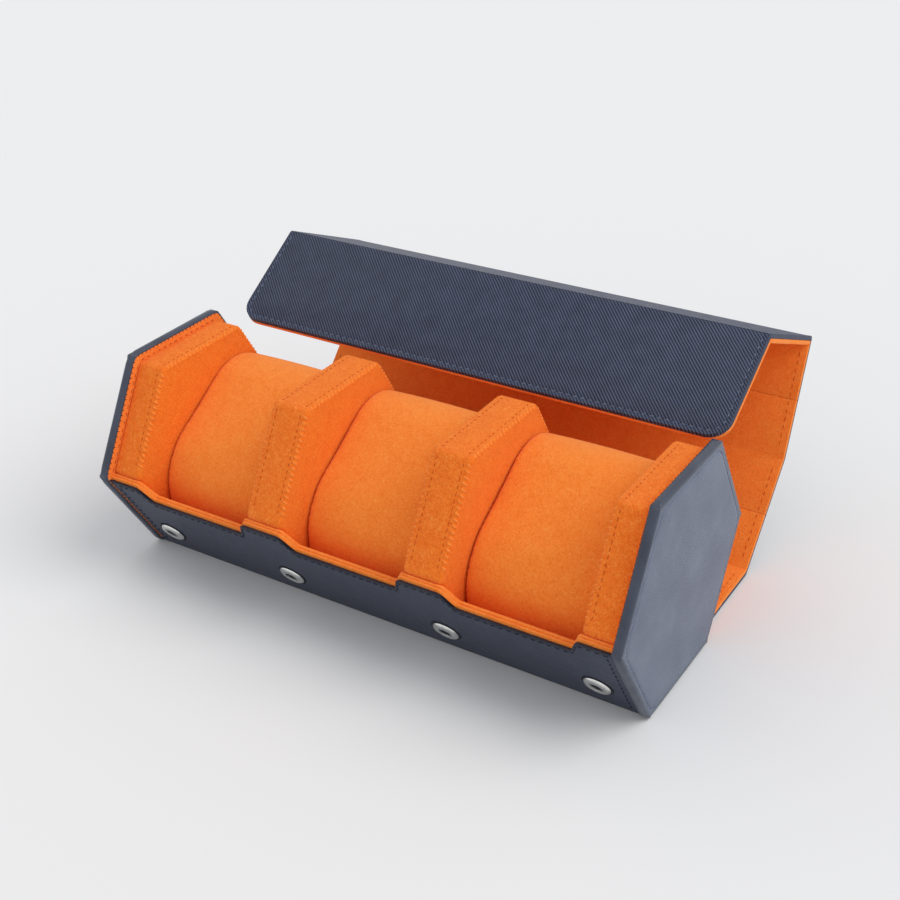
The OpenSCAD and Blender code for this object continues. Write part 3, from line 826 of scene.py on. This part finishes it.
def hemPlaces():  # stitches that follow the wall's top edge, down into the notches
    span = bodyHalf - sideRow["in"]
    path = []
    for k in range(lip["samples"]):
        x = -span + 2 * span * k / (lip["samples"] - 1)
        path.append(wallPoint(wallTop - notchDrop(x) - lip["stitchDown"], lip["stitchOut"]) + toRight * x)
    return [(point, along, wallOut) for point, along in resampled(path, wrap["leather"]["pitch"])]


wallRows = hemPlaces()
for side in (-1, 1):
    x = toRight * side * (bodyHalf - sideRow["in"])
    wallRows += rowBetween(wallPoint(sideRow["foot"], sideRow["out"]) + x,
                           wallPoint(wallTop - sideRow["down"], sideRow["out"]) + x, wallOut,
                           wrap["leather"]["pitch"])
settle(stitchRow("frontWallStitches", wallRows, wrap["leather"], darkThread), "case", "navy_leather")
print("base and front wall made")

# end plates
plateLook = {
    "cornerRound": 0.0034, "rimRound": 0.0014, "rounding": 4, "rowEnd": 0.0008,
    "steps": [(0.0024, 0.0), (0.0003, 0.0001), (0.00035, -0.0003), (0.00035, 0.00035), (0.0014, 0.0002),
              (0.006, 0.0002)],
    "edgeFade": (0.0022, 0.0008),
    "rim": dict(wrap["leather"], sunk=0.00015, inset=0.00305),
    "linerIn": 0.0010, "linerGap": 0.0002, "linerDepth": (0.0001, 0.0007),
    "linerSteps": [(0.0003, 0.0), (0.0030, 0.0)], "pocketStep": (0.0001, -0.0006),
    "seam": {"inset": 0.0036, "pitch": 0.0031, "length": 0.0018, "thick": 0.0004},
    "whip": {"inset": 0.0014, "pitch": 0.0021, "length": 0.0011, "thick": 0.0003},
}


def hexCorner(k, inset, x=0.0):  # a corner of the hexagon that lies that far inside the plates' outline
    reach = (apothem - inset) / cos30
    a = radians(60 * k)
    return hexCentre + Vector((x, reach * cos(a), reach * sin(a)))


def flatHexagon(name, x0, x1, inset):  # a hexagon prism that stands on one side, between two x places
    bpy.ops.mesh.primitive_cylinder_add(vertices=6, radius=(apothem - inset) / cos30, depth=abs(x1 - x0),
                                        location=((x0 + x1) / 2, 0, apothem), rotation=(0, pi / 2, 0))
    return named(name)


def hexRow(x, normal, sewn, slant=0.0):  # stitches round a plate at some depth inside its rim
    places = []
    for k in range(6):
        a, b = (hexCorner(corner % 6, sewn["inset"], x) for corner in (k, k + 1))
        short = (b - a).normalized() * plateLook["rowEnd"]
        places += rowBetween(a + short, b - short, normal, sewn["pitch"], slant)
    return places


def rimDepth(co):  # how far a point lies inside the plate's outline
    return min(apothem - (co - hexCentre).dot(headed(radians(30 + 60 * k))) for k in range(6))


def alongCorner(a, b):  # an edge that runs through one of the hexagon's corners, not round its rim
    def corner(co):
        angle = degrees(turnOf(co - hexCentre)) / 60
        return round(angle) % 6 if abs(angle - round(angle)) < 1e-3 else None
    return corner(a) is not None and corner(a) == corner(b)


def onRim(a, b):  # one of the two sharp edges round the plate
    flush = min(abs(abs(a.x) - outerHalf), abs(abs(a.x) - bodyHalf)) < nearly
    outer = max(rimDepth(a), rimDepth(b)) < plateLook["cornerRound"] / 4
    return flush and abs(a.x - b.x) < nearly and outer


def edgeShare(co):  # 1 at the plate's rim, fading to 0 inside it
    start, fade = plateLook["edgeFade"]
    return max(0.0, min(1.0, (start - rimDepth(co)) / fade))


def makePlate(side, label):
    outward, inward = toRight * side, toRight * -side
    bevel = {"segments": plateLook["rounding"], "affect": "EDGES"}
    shell = flatHexagon(f"{label}_plate_shell", side * bodyHalf, side * outerHalf, 0.0)
    reshape(shell, insets, facing(outward), "FACE", steps=plateLook["steps"])
    reshape(shell, insets, facing(inward), "FACE",
            steps=[(plateLook["linerIn"], 0.0), plateLook["pocketStep"]])
    reshape(shell, bpy.ops.mesh.bevel, alongCorner, "EDGE", offset=plateLook["cornerRound"], **bevel)
    reshape(shell, bpy.ops.mesh.bevel, onRim, "EDGE", offset=plateLook["rimRound"], **bevel)
    closeUp(shell, 40)
    mapFlat(shell, "faceMap", lambda co: (co.y + co.x, co.z))
    # the rim colour is the edge paint, made darker in part as painted shade
    markShare(shell, "edge", edgeShare)
    paint(shell, plateLeather)
    settle(shell, "case", "navy_leather", f"{label}_plate_leather")

    low, high = plateLook["linerDepth"]
    liner = flatHexagon(f"{label}_plate_liner", side * (bodyHalf - low), side * (bodyHalf + high),
                        plateLook["linerIn"] + plateLook["linerGap"])
    reshape(liner, bpy.ops.mesh.bevel, alongCorner, "EDGE",
            offset=plateLook["cornerRound"] - plateLook["linerIn"], **bevel)
    reshape(liner, insets, facing(inward), "FACE", steps=plateLook["linerSteps"])
    closeUp(liner, 40)
    paint(liner, liningSuede)
    settle(liner, "case", "orange_suede", f"{label}_plate_lining")

    rim, seam, whip = plateLook["rim"], plateLook["seam"], plateLook["whip"]
    rimX, linerX = side * (outerHalf - rim["sunk"]), side * (bodyHalf - low)
    for name, places, size, material, slot in (
            ("stitches", hexRow(rimX, outward, rim), rim, navyThread, "navy_leather"),
            ("liner_stitches", hexRow(linerX, inward, seam), seam, seamThread, "orange_suede"),
            ("whip", hexRow(linerX, inward, whip, pi / 2), whip, darkThread, "navy_leather")):
        settle(stitchRow(f"{label}_plate_{name}", places, size, material), "case", slot)


makePlate(-1, "left")
makePlate(1, "right")
print("end plates made")

# blocks
blockLook = {
    "edgeRound": 0.0014, "stripEdge": 0.00042, "behindWall": 0.004, "rowEnd": 0.0016,
    "whip": {"sink": 0.00055, "slant": radians(62), "pitch": 0.0021, "length": 0.0023, "thick": 0.00105},
    "row": {"in": 0.0026, "pitch": 0.0026, "length": 0.0015, "thick": 0.00035},
}


def blockStitches(label, freeSides):  # whip stitches over the free edges and a sewn row beside them
    whips, rows, whip, row = [], [], blockLook["whip"], blockLook["row"]
    for x, way in freeSides:
        for k in (0, 1, 2):
            a, b = (hexCorner(corner, layers["blockInset"]) for corner in (k, k + 1))
            along = (b - a).normalized()
            if k == 2:  # the front face ends behind the wall
                b -= along * blockLook["behindWall"]
            face = headed(radians(60 * k + 30))
            a, b = a + along * blockLook["rowEnd"], b - along * blockLook["rowEnd"]
            sunk = toRight * (x - way * whip["sink"]) - face * whip["sink"]
            tilt = (face + toRight * way).normalized()
            whips += rowBetween(a + sunk, b + sunk, tilt, whip["pitch"], whip["slant"] * way)
            beside = toRight * (x - way * row["in"])
            rows += rowBetween(a + beside, b + beside, face, row["pitch"])
    settle(stitchRow(f"{label}_whip", whips, whip, orangeThread), "case", "orange_suede")
    settle(stitchRow(f"{label}_row", rows, row, seamThread), "case", "orange_suede")


def makeBlock(label):
    low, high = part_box(f"{label}_cover")
    block = flatHexagon(f"{label}_felt", low.x, high.x, layers["blockInset"])
    cutAway(block, wallPoint(0, -layers["base"]), wallOut, fill=True)
    modify(block, "BEVEL", width=blockLook["edgeRound"], segments=4, limit_method="ANGLE",
           angle_limit=radians(30))
    closeUp(block, 60)
    # the felt strip that runs round between the two side faces
    markShare(block, "strip", lambda co: min(co.x - low.x, high.x - co.x) > blockLook["stripEdge"])
    paint(block, blockSuede)
    settle(block, "case", "orange_suede", f"{label}_cover", f"{label}_core")
    blockStitches(label, [(x, way) for x, way in ((low.x, -1), (high.x, 1)) if bodyHalf - abs(x) > 0.001])


for label in ("left_end_block", "left_divider", "right_divider", "right_end_block"):
    makeBlock(label)
print("blocks made")

# cushions: the outline is the hull of a front round and a top round
padLook = {
    "frontY": -0.0035, "frontRadius": 0.0272, "topY": 0.016, "topZ": 0.0505, "topRadius": 0.0215, "sides": 72,
    "gap": 0.00035, "footGap": 0.0002, "shrink": 0.0008, "fill": 0.0022, "voxel": 0.002, "pressure": 4.0,
    "stiffness": 12, "bending": 2, "frames": 20, "cap": 0.003, "crown": 0.0006,
    "seam": {"in": 0.0006, "pitch": 0.0024, "length": 0.0017, "thick": 0.0004},
}
cushionHalf = slots["width"] / 2 - padLook["gap"]
frontZ = layers["base"] + padLook["gap"] + padLook["frontRadius"]
rounds = [(Vector((0, padLook["frontY"], frontZ)), padLook["frontRadius"]),
          (Vector((0, padLook["topY"], padLook["topZ"])), padLook["topRadius"])]
headings = [headed(radians(3 * k)) for k in range(120)]
supports = [max(centre.dot(u) + radius for centre, radius in rounds) for u in headings]


def cushionShell(name, shrink):
    parts = []
    for centre, radius in rounds:
        bpy.ops.mesh.primitive_cylinder_add(
            vertices=padLook["sides"], radius=radius - shrink, depth=2 * (cushionHalf - shrink),
            location=centre, rotation=(0, pi / 2, 0))
        parts.append(named(name))
    shell = joined(name, parts)
    reshape(shell, bpy.ops.mesh.convex_hull)
    return shell


def inflate(shell):
    rest = [v.co.copy() for v in shell.data.vertices]
    activate(shell)
    puff = shell.modifiers.new("puff", "CLOTH")
    cloth = puff.settings
    cloth.use_pressure = True
    cloth.uniform_pressure_force = padLook["pressure"]
    cloth.effector_weights.gravity = 0
    cloth.tension_stiffness = cloth.compression_stiffness = padLook["stiffness"]
    cloth.bending_stiffness = padLook["bending"]
    for count in range(1, padLook["frames"] + 1):
        bpy.context.scene.frame_set(count)
    bpy.ops.object.modifier_apply(modifier=puff.name)
    bpy.context.scene.frame_set(1)
    for v, place in zip(shell.data.vertices, rest):
        move = v.co - place
        if move.length > padLook["cap"]:
            v.co = place + move.normalized() * padLook["cap"]


def keepInSlot(shell):  # the swollen pad is held by its slot's walls and by its own sewn outline
    for v in shell.data.vertices:
        v.co.x = min(max(v.co.x, -cushionHalf), cushionHalf)
        crown = padLook["crown"] * (1 - (v.co.x / cushionHalf) ** 2)
        over, k = max((v.co.dot(u) - h, k) for k, (u, h) in enumerate(zip(headings, supports)))
        if over > crown:
            v.co -= headings[k] * (over - crown)
        v.co.z = max(v.co.z, layers["base"] + padLook["footGap"])


pad = cushionShell("cushionPad", padLook["shrink"])
modify(pad, "REMESH", mode="VOXEL", voxel_size=padLook["voxel"])
inflate(pad)
reshape(pad, bpy.ops.transform.shrink_fatten, value=padLook["fill"])  # takes up the cloth's slack
keepInSlot(pad)
modify(pad, "SUBSURF", levels=1, render_levels=1)
closeUp(pad, 60)


def seamPlaces():  # dark stitches round both ends, just inside the outline
    seamIn = padLook["seam"]["in"]
    outline = []
    for u in headings:
        centre, radius = max(rounds, key=lambda r: r[0].dot(u) + r[1])
        outline.append(centre + u * (radius - seamIn))
    outline.append(outline[0])
    places = []
    for side in (-1, 1):
        end = toRight * side
        for point, along in resampled(outline, padLook["seam"]["pitch"]):
            outwards = (end - end.cross(along) * side).normalized()
            places.append((point + end * (cushionHalf - seamIn), along, outwards))
    return places


seamRow = stitchRow("cushionSeam", seamPlaces(), padLook["seam"], seamThread)
for slot, label in ((-1, "left"), (0, "middle"), (1, "right")):
    shift = Matrix.Translation((slot * slotPitch, 0, 0))
    cushion = copied(pad, f"{label}_cushion_pad", shift)
    paint(cushion, cushionSuede)
    settle(cushion, f"{label}_cushion", "orange_suede", f"{label}_cushion_cover", f"{label}_cushion_core")
    settle(copied(seamRow, f"{label}_cushion_seam", shift), f"{label}_cushion", "orange_suede")
bpy.data.objects.remove(pad)
bpy.data.objects.remove(seamRow)
print("cushions made")

# snap sockets on the front wall
snapLook = {
    "places": (-0.096, -0.035, 0.035, 0.096), "up": 0.015,
    "rings": {"radius": 0.00525, "height": 0.0005, "lift": 0.0, "steps": [
        (0.0003, 0.0003), (0.0005, 0.0003), (0.0008, 0.00012), (0.0007, -0.00004), (0.0004, -0.0002),
        (0.0001, -0.0004), (0.00005, -0.0004)]},
    # a near-black disc in the ring's hole: painted shade
    "holeShade": {"radius": 0.0024, "height": 0.0002, "lift": 0.00055,
              "steps": [(0.0007, -0.0001), (0.0006, 0.0001)]},
    # a near-black ring under each snap on the wall: painted shade of the gap beneath the raised ring
    "shadeRings": {"radius": 0.0060, "height": 0.00025, "lift": 0.0, "steps": [(0.0002, 0.00005)]},
}


def makeSnaps(kind, material, slot, *nodes):  # a turned disc, shaped by insets, with a copy at each snap
    look, name = snapLook[kind], f"snap_{kind}"
    bpy.ops.mesh.primitive_cylinder_add(vertices=48, radius=look["radius"], depth=look["height"],
                                        location=(0, 0, look["height"] / 2))
    disc = named("discModel")
    reshape(disc, insets, facing(upwards), "FACE", steps=look["steps"])
    closeUp(disc, 50)
    paint(disc, material)
    turn = Matrix((toRight, wallOut.cross(toRight), wallOut)).transposed().to_4x4()
    foot = wallPoint(snapLook["up"], look["lift"])
    copies = [copied(disc, name, Matrix.Translation(foot + toRight * x) @ turn) for x in snapLook["places"]]
    bpy.data.objects.remove(disc)
    settle(joined(name, copies), "case", slot, *nodes)


makeSnaps("rings", nickel, "snap_metal", "snap_sockets")
# near-black discs as painted shade: one in each ring's hole, one round each snap on the wall
makeSnaps("holeShade", snapShade, "rivet_metal")
makeSnaps("shadeRings", snapShade, "navy_leather")
print("snaps made")

# floor, light and camera
view = {"place": (0.2610, -0.3675, 0.3205), "target": (0.0191, 0.0, 0.0680), "roll": -2.0,
        "lensPerWidth": 1401 / 900, "sensor": 36.0}
studio = {"floor": 0.84, "sky": (0.97, 0.98, 1.0), "skyLevel": 0.74, "backdrop": 0.84,
          "sunFrom": (0.62, 0.22, 0.75), "sunLevel": 1.21, "sunSoftness": radians(46)}
bpy.ops.mesh.primitive_plane_add(size=8, location=(0, 0, 0))
floor = named("floor")
floorPaint = newMaterial("floorPaint", Roughness=0.9, Specular_IOR_Level=0.1,
                         Base_Color=(studio["floor"],) * 3 + (1,))[0]
paint(floor, floorPaint)

camera = bpy.data.objects.new("camera", bpy.data.cameras.new("camera"))
bpy.context.collection.objects.link(camera)
camera.location = view["place"]
aim = (Vector(view["target"]) - camera.location).to_track_quat("-Z", "Y").to_matrix()
camera.rotation_euler = (aim @ Matrix.Rotation(radians(view["roll"]), 3, "Z")).to_euler()
camera.data.sensor_width = view["sensor"]
camera.data.lens = view["lensPerWidth"] * view["sensor"]
bpy.context.scene.camera = camera

world = bpy.data.worlds.new("studio")
world.use_nodes = True
bpy.context.scene.world = world
tree = world.node_tree
sky = tree.nodes["Background"]
sky.inputs["Color"].default_value = (*studio["sky"], 1)
sky.inputs["Strength"].default_value = studio["skyLevel"]
backdrop = add(tree, "ShaderNodeBackground", {"Color": (studio["backdrop"],) * 3 + (1,), "Strength": 1.0})
rays = add(tree, "ShaderNodeLightPath").outputs
through = maths(tree, "MAXIMUM", rays["Is Glossy Ray"], rays["Is Transmission Ray"])
seen = maths(tree, "MAXIMUM", rays["Is Camera Ray"], through)
either = add(tree, "ShaderNodeMixShader", {0: seen, 1: sky.outputs[0], 2: backdrop.outputs[0]})
tree.links.new(either.outputs[0], tree.nodes["World Output"].inputs["Surface"])

sun = bpy.data.objects.new("sun", bpy.data.lights.new("sun", "SUN"))
bpy.context.collection.objects.link(sun)
sun.rotation_euler = (-Vector(studio["sunFrom"])).to_track_quat("-Z", "Y").to_euler()
sun.data.energy, sun.data.angle = studio["sunLevel"], studio["sunSoftness"]
bpy.context.scene.view_settings.view_transform = "Standard"
print("stage made")
